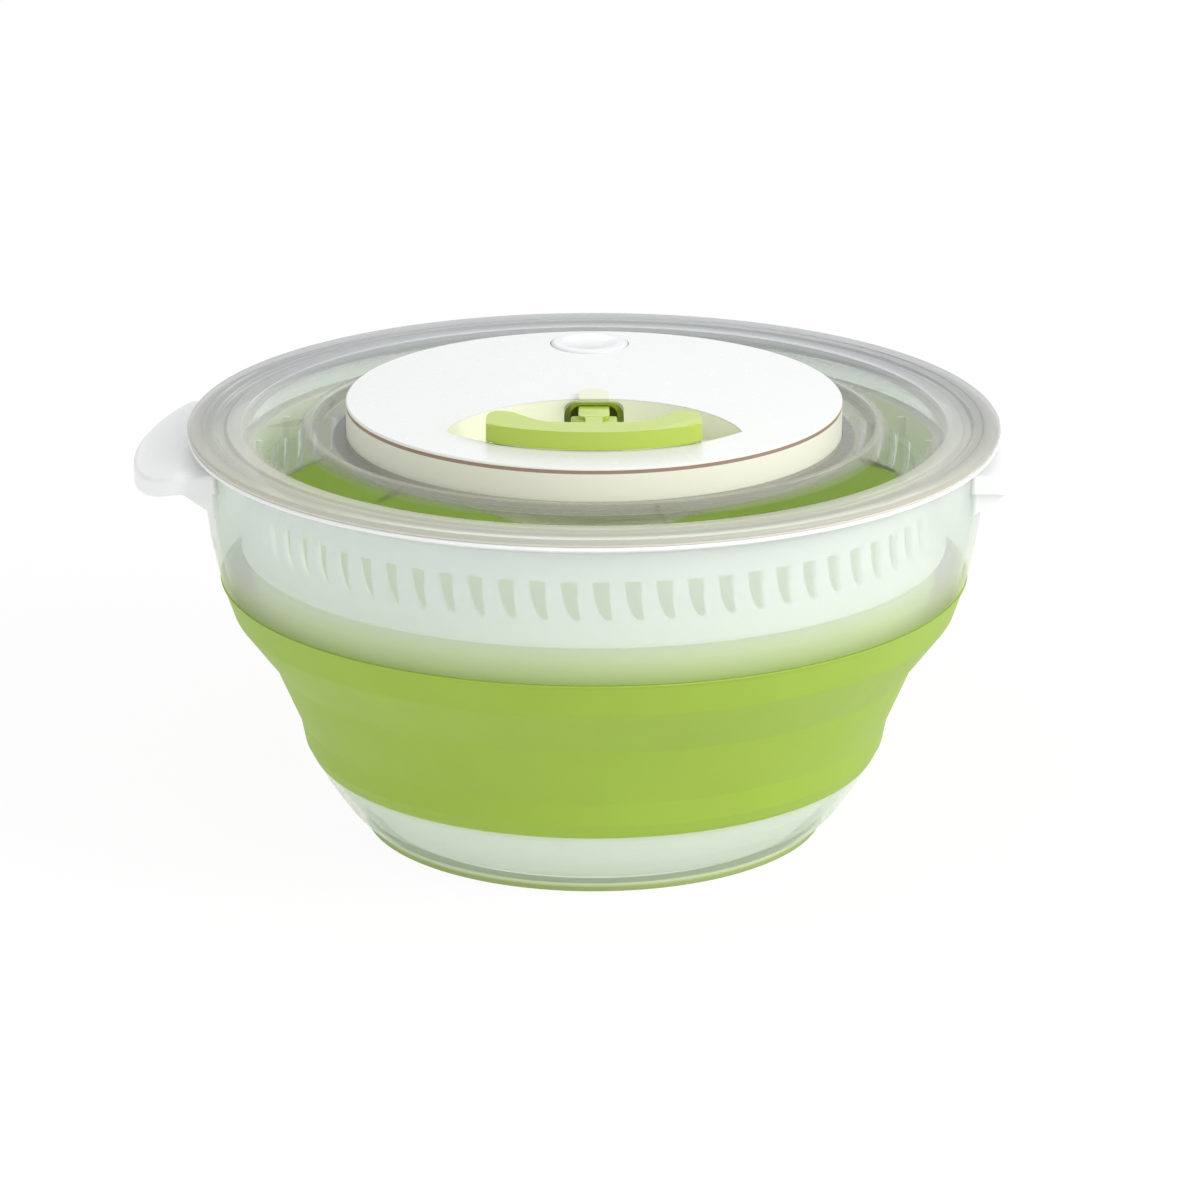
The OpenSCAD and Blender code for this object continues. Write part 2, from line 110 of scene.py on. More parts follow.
def make_floor_material():
    """White paper that the camera sees a little brighter than it lights, like a backlit studio sweep."""
    mat, tree, add = new_material("floor_paper")
    out = add("ShaderNodeOutputMaterial")
    paper = add("ShaderNodeBsdfDiffuse", Roughness=0.9)
    paper.inputs["Color"].default_value = (0.93, 0.93, 0.93, 1)
    glow = add("ShaderNodeEmission", Strength=1.0)
    share = add("ShaderNodeMath", operation="MULTIPLY_ADD")
    glow_for_light, more_for_camera = 0.6, 0.32
    share.inputs[1].default_value = more_for_camera
    share.inputs[2].default_value = glow_for_light
    link(tree, add("ShaderNodeLightPath").outputs["Is Camera Ray"], share.inputs[0])
    mix = add("ShaderNodeMixShader")
    link(tree, share.outputs[0], mix.inputs["Fac"])
    link(tree, paper.outputs[0], mix.inputs[1])
    link(tree, glow.outputs[0], mix.inputs[2])
    link(tree, mix.outputs[0], out.inputs[0])
    return mat


def make_stage():
    """A white floor, white walls that the camera sees a little brighter than they light, and five lamps."""
    mesh = bpy.data.meshes.new("floor")
    reach = 6
    corners = [(-reach, -reach, 0), (reach, -reach, 0), (reach, reach, 0), (-reach, reach, 0)]
    mesh.from_pydata(corners, [], [(0, 1, 2, 3)])
    floor = bpy.data.objects.new("floor", mesh)
    bpy.context.scene.collection.objects.link(floor)
    floor.data.materials.append(make_floor_material())
    world = bpy.data.worlds.new("studio")
    bpy.context.scene.world = world
    world.use_nodes = True
    tree = world.node_tree
    tree.nodes.clear()
    out = tree.nodes.new("ShaderNodeOutputWorld")
    walls, screen = (tree.nodes.new("ShaderNodeBackground") for _ in range(2))
    for background, strength in ((walls, 0.72), (screen, 1.0)):
        background.inputs["Strength"].default_value = strength
        background.inputs["Color"].default_value = (1.0, 1.0, 1.0, 1)
    path = tree.nodes.new("ShaderNodeLightPath")
    mix = tree.nodes.new("ShaderNodeMixShader")
    tree.links.new(path.outputs["Is Camera Ray"], mix.inputs["Fac"])
    tree.links.new(walls.outputs[0], mix.inputs[1])
    tree.links.new(screen.outputs[0], mix.inputs[2])
    tree.links.new(mix.outputs[0], out.inputs["Surface"])
    bpy.context.scene.view_settings.view_transform = "Standard"
    make_light("key", 1.2, 20, (1.4, -0.8, 1.2), (1.0, 0.99, 0.97))
    make_light("fill", 1.5, 3, (-1.3, -1.2, 0.8), (0.96, 0.98, 1.0))
    make_light("back", 1.0, 5, (0.1, 1.4, 1.1), (1.0, 1.0, 1.0))
    make_light("front", 1.4, 5.5, (1.2, -1.4, 0.25), (1.0, 1.0, 1.0))
    # stands in for the light that thin walls let into the basket
    inside = make_light("inside", 0.12, 0.038, (0, 0, 0.045), (1.0, 1.0, 1.0))
    inside.visible_camera = False


# ---- materials ----

def new_material(name):
    """A material with an empty node tree, and a function that adds a node to it."""
    mat = bpy.data.materials.new(name)
    mat.use_nodes = True
    tree = mat.node_tree
    tree.nodes.clear()

    def add(kind, **values):
        made = tree.nodes.new(kind)
        for key, value in values.items():
            if hasattr(made, key):
                setattr(made, key, value)
            else:
                made.inputs[key.replace("_", " ")].default_value = value
        return made

    return mat, tree, add


def link(tree, source, target):
    tree.links.new(source, target)


def shade(colour, factor):
    return tuple(min(1.0, c * factor) for c in colour[:3]) + (1.0,)


def mixed_colour(tree, add, factor, first, second):
    """A colour between two, each a constant or a socket."""
    mix = add("ShaderNodeMix", data_type="RGBA")
    link(tree, factor, mix.inputs["Factor"])
    for source, socket in ((first, mix.inputs[6]), (second, mix.inputs[7])):
        if isinstance(source, tuple):
            socket.default_value = source
        else:
            link(tree, source, socket)
    return mix.outputs[2]


def ramp(tree, add, value, low, high, stops, level_only=False):
    """A colour or a level that follows a value, from stops of (value, colour or level)."""
    span = add("ShaderNodeMapRange", clamp=True)
    span.inputs["From Min"].default_value = low
    span.inputs["From Max"].default_value = high
    link(tree, value, span.inputs["Value"])
    made = add("ShaderNodeValToRGB")
    elements = made.color_ramp.elements
    while len(elements) > 1:
        elements.remove(elements[-1])
    for i, (place, stop) in enumerate(stops):
        at = (place - low) / (high - low)
        element = elements[0] if i == 0 else elements.new(at)
        element.position = at
        element.color = (stop, stop, stop, 1) if level_only else (*stop, 1)
    link(tree, span.outputs["Result"], made.inputs["Fac"])
    return made.outputs["Color"]


def surface(name, colour, roughness, spread=0.05, grain=900, bump=0.02, streak=0.0, specular=0.5,
            metallic=0.0, wear=0.12, sheen=0.0, subsurface=0.0, paint=None):
    """Moulded or machined stuff: a cloudy colour, fine grain in the gloss and the relief, paler edges.
    paint(tree, add, place) may give another colour socket in place of the constant colour.
    Returns the material, its tree, its adder, its Principled node and its coordinate node."""
    mat, tree, add = new_material(name)
    out = add("ShaderNodeOutputMaterial")
    bsdf = add("ShaderNodeBsdfPrincipled")
    bsdf.inputs["Metallic"].default_value = metallic
    bsdf.inputs["Specular IOR Level"].default_value = specular
    bsdf.inputs["Sheen Weight"].default_value = sheen
    bsdf.inputs["Subsurface Weight"].default_value = subsurface
    bsdf.inputs["Subsurface Radius"].default_value = (0.004, 0.005, 0.003)
    place = add("ShaderNodeTexCoord")
    clouds = add("ShaderNodeTexNoise", Scale=35.0, Detail=4.0, Roughness=0.55)
    fine = add("ShaderNodeTexNoise", Scale=float(grain), Detail=3.0, Roughness=0.6)
    for noise in (clouds, fine):
        link(tree, place.outputs["Object"], noise.inputs["Vector"])
    if paint:
        base = paint(tree, add, place)
        dim = add("ShaderNodeHueSaturation", Saturation=1.0)
        level = add("ShaderNodeMapRange")
        level.inputs["To Min"].default_value = 1 - spread
        level.inputs["To Max"].default_value = 1 + spread
        link(tree, clouds.outputs["Fac"], level.inputs["Value"])
        link(tree, level.outputs["Result"], dim.inputs["Value"])
        link(tree, base, dim.inputs["Color"])
        tint = dim.outputs["Color"]
    else:
        tint = mixed_colour(tree, add, clouds.outputs["Fac"], shade(colour, 1 - spread),
                            shade(colour, 1 + spread))
    geometry = add("ShaderNodeNewGeometry")
    edges = add("ShaderNodeMapRange", clamp=True)
    edges.inputs["From Min"].default_value = 0.53
    edges.inputs["From Max"].default_value = 0.66
    edges.inputs["To Max"].default_value = wear
    link(tree, geometry.outputs["Pointiness"], edges.inputs["Value"])
    paler = shade([c * 0.6 + 0.4 for c in colour], 1.0)
    worn = mixed_colour(tree, add, edges.outputs["Result"], tint, paler)
    link(tree, worn, bsdf.inputs["Base Color"])
    rough = add("ShaderNodeMapRange")
    rough.inputs["To Min"].default_value = max(0.02, roughness - 0.06)
    rough.inputs["To Max"].default_value = min(1.0, roughness + 0.08)
    link(tree, fine.outputs["Fac"], rough.inputs["Value"])
    link(tree, rough.outputs["Result"], bsdf.inputs["Roughness"])
    relief = add("ShaderNodeBump", Strength=bump, Distance=0.0004)
    height = fine.outputs["Fac"]
    if streak:
        lines = add("ShaderNodeTexWave", Scale=float(streak), Distortion=1.5, Detail=2.0)
        lines.bands_direction = "Z"
        link(tree, place.outputs["Object"], lines.inputs["Vector"])
        both = add("ShaderNodeMath", operation="ADD")
        link(tree, fine.outputs["Fac"], both.inputs[0])
        link(tree, lines.outputs["Fac"], both.inputs[1])
        height = both.outputs[0]
    link(tree, height, relief.inputs["Height"])
    link(tree, relief.outputs["Normal"], bsdf.inputs["Normal"])
    link(tree, bsdf.outputs[0], out.inputs[0])
    return mat, tree, add, bsdf, place


def see_through(made, tint, solid, solid_edge, start=0.8, also=None):
    """Lets what is behind show through. solid is how much of the plastic's own look stays on a face seen
    up to the given slant, solid_edge how much stays where it is seen edge on. also(tree, add, place) may
    give a second amount, and the larger of the two counts."""
    mat, tree, add, bsdf, place = made
    out = next(n for n in tree.nodes if n.type == "OUTPUT_MATERIAL")
    clear = add("ShaderNodeBsdfTransparent")
    clear.inputs["Color"].default_value = (*tint, 1)
    facing = add("ShaderNodeLayerWeight", Blend=0.5)
    amount = add("ShaderNodeMapRange", clamp=True)
    amount.inputs["From Min"].default_value = start
    amount.inputs["To Min"].default_value = solid
    amount.inputs["To Max"].default_value = solid_edge
    link(tree, facing.outputs["Facing"], amount.inputs["Value"])
    share = amount.outputs["Result"]
    if also:
        larger = add("ShaderNodeMath", operation="MAXIMUM")
        link(tree, share, larger.inputs[0])
        link(tree, also(tree, add, place), larger.inputs[1])
        share = larger.outputs[0]
    mix = add("ShaderNodeMixShader")
    link(tree, share, mix.inputs["Fac"])
    link(tree, clear.outputs[0], mix.inputs[1])
    link(tree, bsdf.outputs[0], mix.inputs[2])
    link(tree, mix.outputs[0], out.inputs[0])
    return mat


def along(axis, tree, add, place):
    """The place on one axis, in metres from the middle of the foot."""
    parts = add("ShaderNodeSeparateXYZ")
    link(tree, place.outputs["Object"], parts.inputs[0])
    return parts.outputs[axis]


def distance_from_axis(tree, add, place):
    flat = add("ShaderNodeVectorMath", operation="MULTIPLY")
    flat.inputs[1].default_value = (1, 1, 0)
    link(tree, place.outputs["Object"], flat.inputs[0])
    length = add("ShaderNodeVectorMath", operation="LENGTH")
    link(tree, flat.outputs["Vector"], length.inputs[0])
    return length.outputs["Value"]


def frosted_paint_with_painted_light(tree, add, place):
    """Painted light, by height: the base is painted pale in place of light that falls on it, darker and
    greener just above the foot as painted shade, and tinted green next to the folding wall as painted green
    light showing through from the wall.
    """
    return ramp(tree, add, along("Z", tree, add, place), 0.0, 0.132, [
        (0.003, (0.72, 0.80, 0.60)), (0.008, (0.84, 0.90, 0.76)), (0.014, (0.95, 0.97, 0.86)),
        (0.0225, (0.96, 0.98, 0.88)), (0.0242, (0.84, 0.92, 0.52)), (0.084, (0.60, 0.74, 0.26)),
        (0.0875, (0.72, 0.80, 0.46)),
        (0.093, (0.88, 0.92, 0.70)), (0.098, (0.94, 0.95, 0.88)), (0.108, (0.95, 0.96, 0.95)),
        (0.131, (0.95, 0.96, 0.965))
    ])


def foot_paint(tree, add, place):
    """Olive low down, paler towards the top, next to the bowl."""
    return ramp(tree, add, along("Z", tree, add, place), 0.0, 0.004, [
        (0.0, (0.30, 0.38, 0.12)), (0.0015, (0.34, 0.42, 0.15)), (0.0024, (0.62, 0.70, 0.44)),
        (0.004, (0.66, 0.74, 0.50))
    ])


def lid_painted_shading(tree, add, place):
    """Painted shade and light on the clear plastic: by its distance from the axis, painted shade at every
    moulded step, and by front and back, a warm painted glow at the front, where the inside shows through,
    and greyer painted shade at the back."""
    steps = [
        (0.0800, 0.50), (0.0895, 0.47), (0.0905, 0.60), (0.0935, 0.40), (0.0950, 0.48),
        (0.1100, 0.58), (0.1140, 0.68), (0.1172, 0.70), (0.1182, 0.54), (0.1196, 0.64),
        (0.1215, 0.62), (0.1224, 0.49), (0.1250, 0.51), (0.1264, 0.62), (0.1284, 0.68),
        (0.1300, 0.64)
    ]
    painted_step_shade = ramp(tree, add, distance_from_axis(tree, add, place), 0.08, 0.13, steps, level_only=True)
    painted_front_light = ramp(tree, add, along("Y", tree, add, place), -0.13, 0.13, [
        (-0.13, (1.0, 1.0, 0.90)), (-0.08, (1.0, 1.0, 0.84)), (0.0, (0.90, 0.91, 0.86)),
        (0.06, (0.80, 0.83, 0.85)), (0.13, (0.84, 0.88, 0.91))
    ])
    both = add("ShaderNodeMix", data_type="RGBA", blend_type="MULTIPLY")
    both.inputs["Factor"].default_value = 1.0
    link(tree, painted_step_shade, both.inputs[6])
    link(tree, painted_front_light, both.inputs[7])
    return both.outputs[2]


def lid_solidity(tree, add, place):
    """How much of the clear plastic's own look hides what is behind it, by its distance from the axis."""
    steps = [
        (0.0800, 0.45), (0.0895, 0.40), (0.0905, 0.50), (0.0935, 0.40), (0.0950, 0.02),
        (0.1070, 0.02), (0.1100, 0.25), (0.1125, 0.55), (0.1172, 0.60), (0.1180, 0.70),
        (0.1196, 0.60), (0.1215, 0.60), (0.1224, 0.70), (0.1264, 0.60), (0.1300, 0.60)
    ]
    return ramp(tree, add, distance_from_axis(tree, add, place), 0.08, 0.13, steps, level_only=True)


def rim_solidity(tree, add, place):
    """The lip and the ears are thick, so less shows through them than through the wall."""
    return ramp(tree, add, distance_from_axis(tree, add, place), 0.12, 0.15,
                [(0.1200, 0.0), (0.1256, 0.0), (0.1275, 0.88), (0.1500, 0.92)], level_only=True)


def disc_solidity(tree, add, place):
    """The drive disc is milky round its hub and clear further out."""
    return ramp(tree, add, distance_from_axis(tree, add, place), 0.0, 0.11,
                [(0.0, 0.75), (0.0500, 0.70), (0.0600, 0.0), (0.1100, 0.0)], level_only=True)


def cover_paint_with_pocket_shade(tree, add, place):
    """White on top, and a creamy painted shade down in the finger pocket."""
    return ramp(tree, add, along("Z", tree, add, place), 0.13, 0.141, [
        (0.1300, (0.92, 0.94, 0.76)), (0.1402, (0.92, 0.94, 0.78)), (0.1406, (0.79, 0.805, 0.80)),
        (0.1410, (0.79, 0.805, 0.80))
    ])


def guide_painted_shade(tree, add, place):
    """Painted shade, dark round the guide's arch, and painted light, lighter in its mouth."""
    off_middle = add("ShaderNodeMath", operation="ABSOLUTE")
    link(tree, along("X", tree, add, place), off_middle.inputs[0])
    return ramp(tree, add, off_middle.outputs[0], 0.0, 0.01, [
        (0.0, (0.26, 0.35, 0.035)), (0.0068, (0.24, 0.32, 0.03)), (0.0078, (0.15, 0.20, 0.018)),
        (0.0094, (0.11, 0.15, 0.012))
    ])


def make_materials():
    # frosted plastic whose colour is painted light: a pale base, painted shade above the foot, painted
    # green from the wall
    frosted = see_through(
        surface("frosted_plastic", (0.92, 0.935, 0.94), 0.38, spread=0.02, grain=1400, bump=0.03,
                specular=0.4, wear=0.05, subsurface=0.15, paint=frosted_paint_with_painted_light),
        (0.92, 0.96, 0.93), 0.36, 0.85, also=rim_solidity)
    # the clear lid's colour is painted shade at its steps and painted warm light at its front
    clear = see_through(
        surface("clear_plastic", (0.5, 0.5, 0.5), 0.10, spread=0.03, grain=500, bump=0.004,
                specular=0.6, wear=0.25, paint=lid_painted_shading),
        (0.975, 0.98, 0.965), 0.02, 0.40, start=0.88, also=lid_solidity)
    disc = see_through(
        surface("clear_disc_plastic", (0.80, 0.80, 0.62), 0.3, spread=0.03, grain=500, bump=0.004,
                specular=0.3, wear=0.2),
        (0.985, 0.99, 0.975), 0.01, 0.20, start=0.92, also=disc_solidity)
    button = see_through(
        surface("milky_plastic", (0.93, 0.95, 0.96), 0.22, spread=0.02, grain=900, bump=0.01,
                specular=0.6, wear=0.1),
        (0.97, 0.98, 0.99), 0.8, 0.9)
    return {
        "frosted": frosted,
        "clear_lid": clear,
        "disc_clear": disc,
        "button_translucent": button,
        "bellows_green": surface("soft_green_rubber", (0.32, 0.47, 0.05), 0.46, spread=0.06, grain=1100,
                                 bump=0.05, specular=0.35, wear=0.10, subsurface=0.10)[0],
        # painted light: the basket's folding wall is a lighter copy of the bowl's green, standing in for
        # light inside the basket
        "basket_green": surface("basket_rubber_painted_light", (0.56, 0.78, 0.12), 0.46, spread=0.06, grain=1100,
                                bump=0.05, specular=0.35, wear=0.10)[0],
        "foot_green": surface("foot_rubber", (0.34, 0.42, 0.15), 0.6, grain=1200, bump=0.08,
                              paint=foot_paint)[0],
        "handle_green": surface("green_gloss_plastic", (0.43, 0.56, 0.085), 0.34, spread=0.03, grain=500,
                                bump=0.006, specular=0.3, wear=0.05)[0],
        # the guide's green is a darker copy of the handle's green, painted shade for the shade it sits in,
        # with more painted shade and light across it
        "guide_green": surface("green_plastic_painted_shade", (0.17, 0.22, 0.015), 0.30, spread=0.04, grain=500,
                               bump=0.006, specular=0.4, wear=0.02, paint=guide_painted_shade)[0],
        "tab_cream": surface("tab_plastic", (0.68, 0.70, 0.50), 0.34, spread=0.03, grain=800, bump=0.02,
                             wear=0.05)[0],
        "basket_white": surface("basket_plastic", (0.95, 0.97, 0.94), 0.42, spread=0.03, bump=0.03)[0],
        "white_plastic": surface("white_inner_plastic", (0.84, 0.85, 0.83), 0.4, bump=0.03)[0],
        "grey_plastic": surface("grey_inner_plastic", (0.20, 0.21, 0.21), 0.45, bump=0.04)[0],
        "housing_cream": surface("cream_plastic", (0.87, 0.88, 0.75), 0.34, spread=0.03, grain=800,
                                 bump=0.02, wear=0.10)[0],
        # the cream colour down in the finger pocket is painted shade
        "cover_white": surface("white_gloss_plastic", (0.79, 0.805, 0.80), 0.24, spread=0.015, grain=700,
                               bump=0.006, specular=0.12, wear=0.08, paint=cover_paint_with_pocket_shade)[0],
        "trim_brown": surface("brown_trim", (0.34, 0.22, 0.17), 0.4, bump=0.03)[0],
        "seal_tan": surface("tan_seal", (0.74, 0.71, 0.62), 0.6, bump=0.06)[0],
        "seal_grey": surface("grey_seal", (0.42, 0.43, 0.42), 0.6, bump=0.06)[0],
        "steel": surface("turned_steel", (0.60, 0.60, 0.58), 0.26, spread=0.05, bump=0.02, streak=400,
                         metallic=1.0, wear=0.3)[0],
        "brass": surface("sintered_brass", (0.72, 0.52, 0.22), 0.36, bump=0.04, metallic=1.0)[0],
        "rubber": surface("black_rubber", (0.04, 0.04, 0.04), 0.65, grain=1200, bump=0.1)[0],
        "cord": surface("braided_cord", (0.85, 0.85, 0.80), 0.7, spread=0.08, grain=2500, bump=0.3,
                        streak=1500, sheen=0.3)[0],
    }


# ---- mesh helpers ----

def fillet(points, radius, steps=4):
    """The corners of a closed outline of (radius, height) points, rounded off."""
    made = []
    count = len(points)
    for i, point in enumerate(points):
        corner = Vector(point[:2])
        before = Vector(points[i - 1][:2]) - corner
        after = Vector(points[(i + 1) % count][:2]) - corner
        own = point[2] if len(point) > 2 else radius
        if own <= 0 or before.length < 1e-6 or after.length < 1e-6:
            made.append(corner)
            continue
        half = before.angle(after) / 2
        reach = min(own / max(math.tan(half), 1e-3), before.length * 0.45, after.length * 0.45)
        first = corner + before.normalized() * reach
        last = corner + after.normalized() * reach
        for k in range(steps + 1):
            t = k / steps
            made.append(first * (1 - t) ** 2 + corner * 2 * t * (1 - t) + last * t ** 2)
    return made


def divided(outline, longest):
    """A closed outline with no step longer than that."""
    made = []
    for i, a in enumerate(outline):
        b = outline[(i + 1) % len(outline)]
        parts = max(1, math.ceil((b - a).length / longest))
        made += [a.lerp(b, k / parts) for k in range(parts)]
    return made


def finish_piece(name, bm, body, slot, nodes, smooth_angle=40):
    """Turns a bmesh in millimetres into a piece that rides on a body."""
    bmesh.ops.remove_doubles(bm, verts=bm.verts, dist=1e-4)
    bmesh.ops.recalc_face_normals(bm, faces=bm.faces)
    bmesh.ops.scale(bm, vec=(MM, MM, MM), verts=bm.verts)
    mesh = bpy.data.meshes.new(name)
    bm.to_mesh(mesh)
    bm.free()
    mesh.shade_smooth()
    mesh.set_sharp_from_angle(angle=math.radians(smooth_angle))
    piece = bpy.data.objects.new(name, mesh)
    bpy.context.scene.collection.objects.link(piece)
    mesh.materials.append(materials[slot])
    if body:
        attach(piece, body)
    if nodes:
        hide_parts(*nodes)
    return piece


def lathe_into(bm, outline, segments=SEGMENTS, wave=None):
    """Turns a closed outline round the Z axis. wave(angle, point) may move a point."""
    rings = []
    for s in range(segments):
        angle = 2 * math.pi * s / segments
        ring = []
        for p in outline:
            r, z = wave(angle, p) if wave else (p[0], p[1])
            ring.append(bm.verts.new((r * math.cos(angle), r * math.sin(angle), z)))
        rings.append(ring)
    count = len(outline)
    for s in range(segments):
        a, b = rings[s], rings[(s + 1) % segments]
        for k in range(count):
            n = (k + 1) % count
            on_axis = [v.co.xy.length < 1e-6 for v in (a[k], a[n])]
            if all(on_axis):
                continue
            if on_axis[0]:
                bm.faces.new((a[k], b[n], a[n]))
            elif on_axis[1]:
                bm.faces.new((a[k], b[k], a[n]))
            else:
                bm.faces.new((a[k], b[k], b[n], a[n]))


def lathe(name, outline, body, slot, nodes, segments=SEGMENTS, wave=None):
    bm = bmesh.new()
    lathe_into(bm, outline, segments, wave)
    return finish_piece(name, bm, body, slot, nodes)


def shell(outer, thickness):
    """A closed outline of even thickness inside an outer one, measured level."""
    return list(outer) + [(p[0] - thickness, *p[1:]) for p in reversed(outer)]


def smooth_line(points, steps=6):
    """A smooth line through (x, y) points."""
    made = []
    ends = [points[0], *points, points[-1]]
    for i in range(1, len(ends) - 2):
        a, b, c, d = (Vector(ends[i + k]) for k in (-1, 0, 1, 2))
        for k in range(steps):
            t = k / steps
            made.append(0.5 * (2 * b + (c - a) * t + (2 * a - 5 * b + 4 * c - d) * t ** 2
                               + (3 * b - a - 3 * c + d) * t ** 3))
    return made + [Vector(points[-1])]


def prism_into(bm, outline, low, high, bevel=0.0, bevel_steps=3, turn=None):
    """A flat outline of (x, y) points raised from one height to another, its top and bottom edges rounded.
    turn(point) may place a point somewhere else."""
    place = turn or (lambda p: p)
    bottom = [bm.verts.new(place((p[0], p[1], low))) for p in outline]
    top = [bm.verts.new(place((p[0], p[1], high))) for p in outline]
    count = len(outline)
    for k in range(count):
        bm.faces.new((bottom[k], bottom[(k + 1) % count], top[(k + 1) % count], top[k]))
    caps = [bm.faces.new(bottom[::-1]), bm.faces.new(top)]
    if bevel:
        edges = list({e for cap in caps for e in cap.edges})
        bmesh.ops.bevel(bm, geom=edges, offset=bevel, segments=bevel_steps, profile=0.5,
                        affect="EDGES", clamp_overlap=True)


def tube_into(bm, path, radius, sides=12):
    """A round tube along a list of points, closed at both ends."""
    rings = []
    for i, p in enumerate(path):
        p = Vector(p)
        tangent = (Vector(path[min(i + 1, len(path) - 1)]) - Vector(path[max(i - 1, 0)])).normalized()
        side = tangent.orthogonal().normalized() if i == 0 else \
            (last_side - tangent * last_side.dot(tangent)).normalized()
        last_side = side
        up = tangent.cross(side)
        rings.append([
            bm.verts.new(p + radius * (math.cos(2 * math.pi * k / sides) * side
                                       + math.sin(2 * math.pi * k / sides) * up))
            for k in range(sides)
        ])
    for a, b in zip(rings, rings[1:]):
        for k in range(sides):
            n = (k + 1) % sides
            bm.faces.new((a[k], a[n], b[n], b[k]))
    bm.faces.new(rings[0][::-1])
    bm.faces.new(rings[-1])


# ---- bowl ----

def make_bowl_base():
    outer = [
        (0, 3), (75.2, 3, 1), (77.5, 4.5, 2), (81.4, 8.8, 3), (84.8, 13.5, 3), (88.2, 18.6, 3),
        (91.3, BASE_TOP, 0), (89.3, BASE_TOP, 0), (86.2, 18.8, 3), (82.8, 14.1, 3), (79.4, 9.7, 3),
        (76.2, 6.2, 2), (74, 5, 1), (4, 5, 0.6), (4, 16, 0.8), (3, 17, 0.3), (0, 17)
    ]
    lathe("bowl_base_cup", fillet(outer, 0), "base", "frosted", ["bowl_base"])


def make_foot():
    outline = fillet([(70, 0), (74.6, 0), (74.6, foot_high.z, 0.2), (70, foot_high.z, 0.2)], 0.8)
    lathe("foot_pad_ring", outline, "base", "foot_green", ["foot_ring"])


def make_bowl_wall():
    outer = [
        (91.3, BASE_TOP, 0), (91.9, 24.9, 0.6), (94.0, 28.9, 2.0), (95.6, 37.0, 5), (104.2, 56.9, 6),
        (116.4, 72.9, 6), (119.9, 83.2, 0.5), (120.4, 83.6, 0.3), (120.4, WALL_TOP, 0.2)
    ]
    outline = divided(fillet(shell(outer, 1.6), 0), 1.2)
    wall = lathe("bowl_folding_wall", outline, "rim", "bellows_green", ["bowl_bellows"])
    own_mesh(wall)


def make_rim():
    outer = [
        (120.1, WALL_TOP, 0.2), (123.2, 98, 20), (125.1, 112.8, 20), (126, 127.6, 1.5), (127.2, 129.2, 1),
        (129.0, 129.5, 0.6), (129.95, 130.1, 0.6), (129.6, 131, 0.5), (126.4, 131, 0.4), (124, 127.6, 1),
        (123.1, 112.8, 20), (121.2, 98, 20), (118.1, WALL_TOP, 0.2)
    ]
    lathe("rim_ring", fillet(outer, 0, steps=6), "rim", "frosted", ["bowl_rim"])
    for side in (1, -1):
        make_ear(side)


def ear_height(x):
    """The ear's upper face, drooping towards its tip."""
    face = [
        (112, 127.4), (125, 127.3), (132, 126.9), (136.4, 125.4), (141, 123.8), (144.5, 122.8), (149, 122.3)
    ]
    for (x0, z0), (x1, z1) in zip(face, face[1:]):
        if x <= x1:
            t = (x - x0) / (x1 - x0)
            return z0 + (z1 - z0) * t
    return face[-1][1]


def make_ear(side):
    """A drooping tab, half an ellipse seen from above, with edges that turn down and ribs under it."""
    half_w, root_x, root_r = 44.3, 129.0, 125.2
    reach = EAR_TIP - 0.05 - root_x
    columns, rows = 22, 60
    curl, skirt, thickness = 1.5, 5.6, 2.0

    def to_edge(x, y):
        past = max(0.0, x - root_x)
        q = math.hypot(past / reach, y / half_w)
        slope = math.hypot(past / reach ** 2, y / half_w ** 2) / max(q, 1e-6)
        return (1 - q) / max(slope, 1e-6)

    def point(u, v, drop):
        y = v * half_w
        outer = root_x + reach * math.sqrt(max(0.0, 1 - v * v))
        root = math.sqrt(root_r ** 2 - y ** 2)
        x = root + u * (outer - root)
        away = min(curl, max(0.0, curl - to_edge(x, y)))
        fall = curl - math.sqrt(curl ** 2 - away ** 2)
        return (side * x, y, ear_height(x) - fall - drop)

    bm = bmesh.new()
    us = [1 - (1 - i / columns) ** 1.8 for i in range(columns + 1)]
    vs = [math.sin(math.pi / 2 * (-1 + 2 * j / rows)) for j in range(rows + 1)]
    grid = []
    for j in [-1, *range(rows + 1), rows + 1]:
        v = vs[min(max(j, 0), rows)]
        grid.append([
            bm.verts.new(point(us[min(i, columns)], v,
                               skirt - curl if j in (-1, rows + 1) or i == columns + 1 else 0.0))
            for i in range(columns + 2)
        ])
    for a, b in zip(grid, grid[1:]):
        for k in range(len(a) - 1):
            bm.faces.new((a[k], a[k + 1], b[k + 1], b[k]))
    bmesh.ops.remove_doubles(bm, verts=bm.verts, dist=1e-3)
    bmesh.ops.recalc_face_normals(bm, faces=bm.faces)
    if sum(f.normal.z for f in bm.faces) < 0:
        bmesh.ops.reverse_faces(bm, faces=bm.faces)
    bmesh.ops.solidify(bm, geom=bm.faces[:] + bm.edges[:] + bm.verts[:], thickness=thickness)
    web = smooth_line([(117.8, 112), (120.4, 114.8), (125.4, 118.4), (130, 121.5)], 4)
    outer_web = [*web, (132, 122.2), (132, 125), (117.8, 125.8)]
    middle_web = [
        (124.7, 109.2), *smooth_line([(125.4, 110.4), (131, 116.4), (138, 119.8)], 4), (138.6, 122.8),
        (124.9, 125.8)
    ]
    web_y, half_web = 41.6, 0.8
    for y, outline in ((-web_y, outer_web), (web_y, outer_web), (0.0, middle_web)):
        prism_into(bm, outline, y - half_web, y + half_web, turn=lambda p: (side * p[0], p[2], p[1]))
    name = "ear_right" if side > 0 else "ear_left"
    finish_piece(name, bm, "rim", "frosted", ["bowl_rim"], smooth_angle=50)


# ---- basket ----

